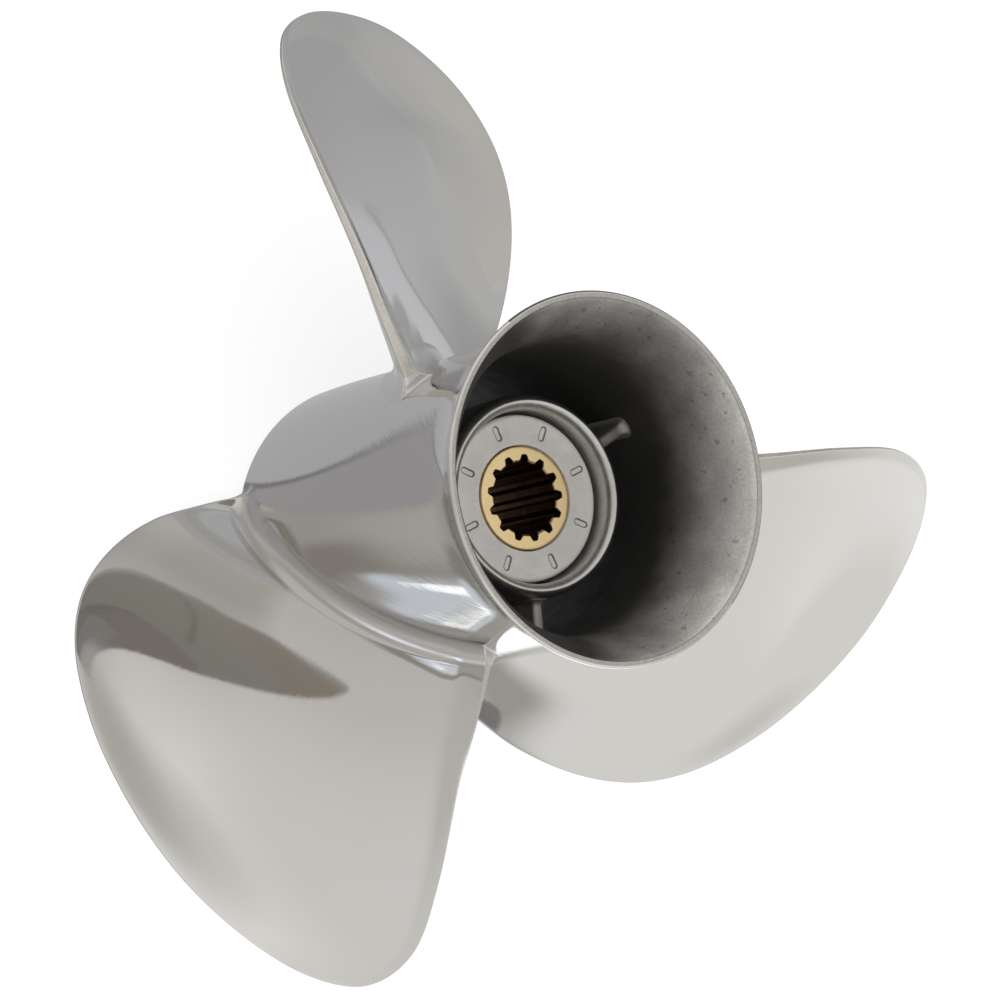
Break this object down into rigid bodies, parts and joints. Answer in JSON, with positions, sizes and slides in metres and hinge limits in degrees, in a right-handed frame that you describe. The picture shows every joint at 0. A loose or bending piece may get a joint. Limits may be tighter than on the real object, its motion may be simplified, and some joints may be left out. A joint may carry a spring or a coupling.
{
  "type": "three-blade stainless outboard boat propeller with through-hub exhaust",
  "caption": "Polished stainless boat propeller: three swept, cupped blades on a flared open hub, with an inner tube on radial ribs and a splined brass sleeve in a bushing.",
  "frame": {"origin": "on the shaft axis, in the plane of the hub's forward end face, which the propeller stands on", "axes": "+Z along the shaft axis, aft, out of the flared end; +X is the direction that points up in the picture, about 9 degrees from the middle of blade_1; +Y completes the right-handed frame"},
  "size_m": [0.2516, 0.2661, 0.134],
  "materials": {
    "barrel_steel": "mirror polished outside, as cast inside",
    "blade_steel": "mirror polished",
    "rib_steel": "as cast, bead blasted",
    "tube_steel": "as cast with a turned end",
    "bushing_resin": "matte moulded",
    "sleeve_brass": "machined, satin"
  },
  "bodies": {
    "root": {"hub_barrel": "barrel_steel", "blade_1": "blade_steel", "blade_2": "blade_steel", "blade_3": "blade_steel", "rib_1": "rib_steel", "rib_2": "rib_steel", "rib_3": "rib_steel", "inner_hub_tube": "tube_steel", "bushing": "bushing_resin", "spline_sleeve": "sleeve_brass"}
  },
  "joints": []
}
